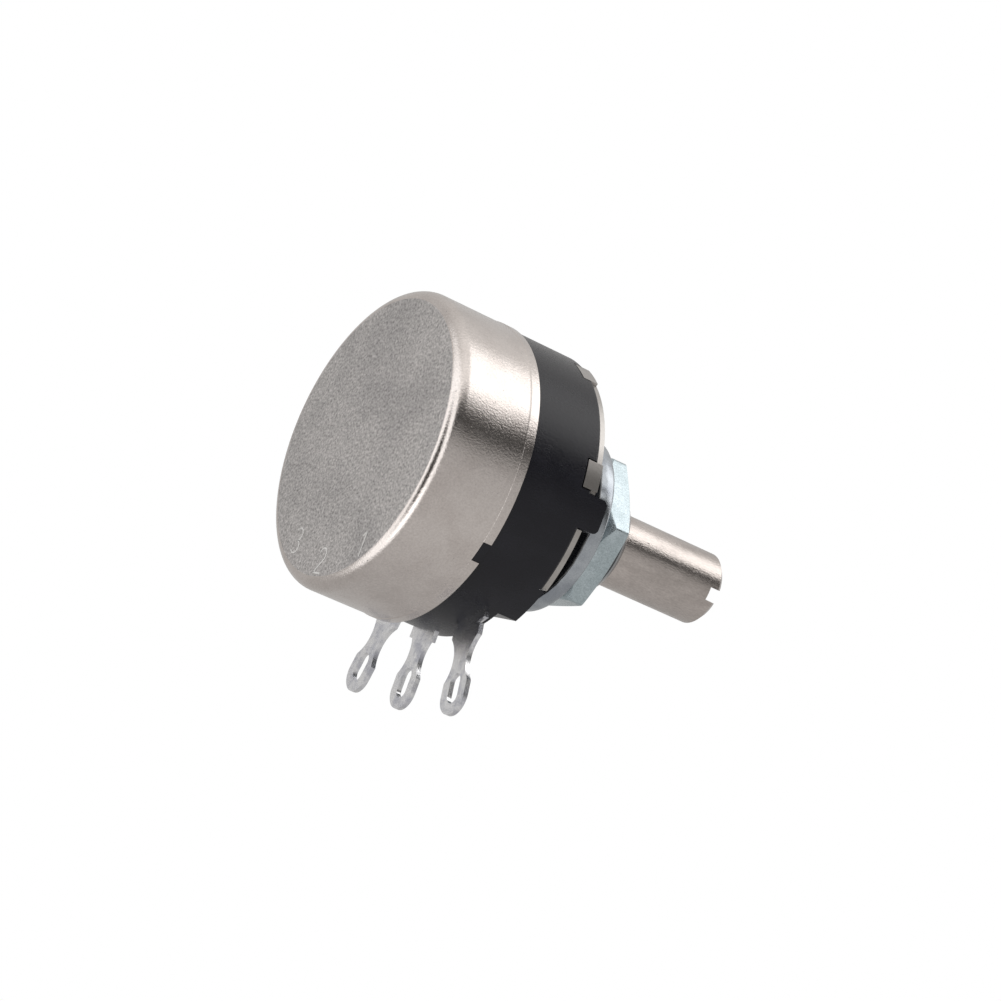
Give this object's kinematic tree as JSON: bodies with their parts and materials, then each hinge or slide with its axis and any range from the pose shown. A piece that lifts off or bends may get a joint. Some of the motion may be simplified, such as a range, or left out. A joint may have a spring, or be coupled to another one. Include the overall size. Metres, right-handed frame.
{
  "type": "rotary potentiometer",
  "caption": "Panel-mount rotary potentiometer with a round metal can, black housing, threaded bushing, nut, slotted shaft and solder-lug terminals.",
  "frame": {"origin": "on the shaft axis at the front plate's face, which seats against the panel", "axes": "+Z along the shaft towards its tip, -Y towards the middle terminal, -X towards the locating lug"},
  "size_m": [0.0246, 0.0304, 0.0335],
  "materials": {
    "can": "nickel plated, sandblasted back",
    "moulding": "black phenolic moulding, satin",
    "plate": "nickel plated sheet",
    "bushing": "nickel plated brass",
    "shaft": "nickel plated",
    "zinc": "bright zinc plated",
    "tin": "tinned",
    "board": "phenolic paper board with a black track",
    "spring": "phosphor bronze",
    "eyelet": "plain",
    "fibre": "fibre paper"
  },
  "bodies": {
    "frame": {"rear_can": "can", "housing": "moulding", "front_plate": "plate", "insulating_disc": "fibre", "bushing": "bushing", "resistance_element": "board", "collector_ring": "tin", "thrust_washer": "spring", "terminal_1": "tin", "terminal_2": "tin", "terminal_3": "tin", "eyelet_1": "eyelet", "eyelet_2": "eyelet", "eyelet_3": "eyelet"},
    "rotor": {"shaft": "shaft", "rotor": "moulding", "wiper_spring": "spring", "stop_plate": "plate", "rotor_washer": "plate", "retaining_ring": "plate"},
    "washer": {"washer": "zinc"},
    "nut": {"hex_nut": "zinc"}
  },
  "joints": [
    {"name": "shaft_turn", "type": "hinge", "parent": "frame", "child": "rotor", "pos_m": [0, 0, 0], "axis": [0, 0, 1], "range_deg": [-150, 150]},
    {"name": "nut_travel", "type": "slide", "parent": "frame", "child": "washer", "axis": [0, 0, 1], "range_m": [-0.0034, 0.0014]},
    {"name": "nut_turn", "type": "hinge", "parent": "washer", "child": "nut", "pos_m": [0, 0, 0], "axis": [0, 0, 1], "range_deg": [-1633, 673]}
  ],
  "couplings": [
    {"joint": "nut_turn", "follows": "nut_travel", "rad_per_m": 8377.6}
  ]
}
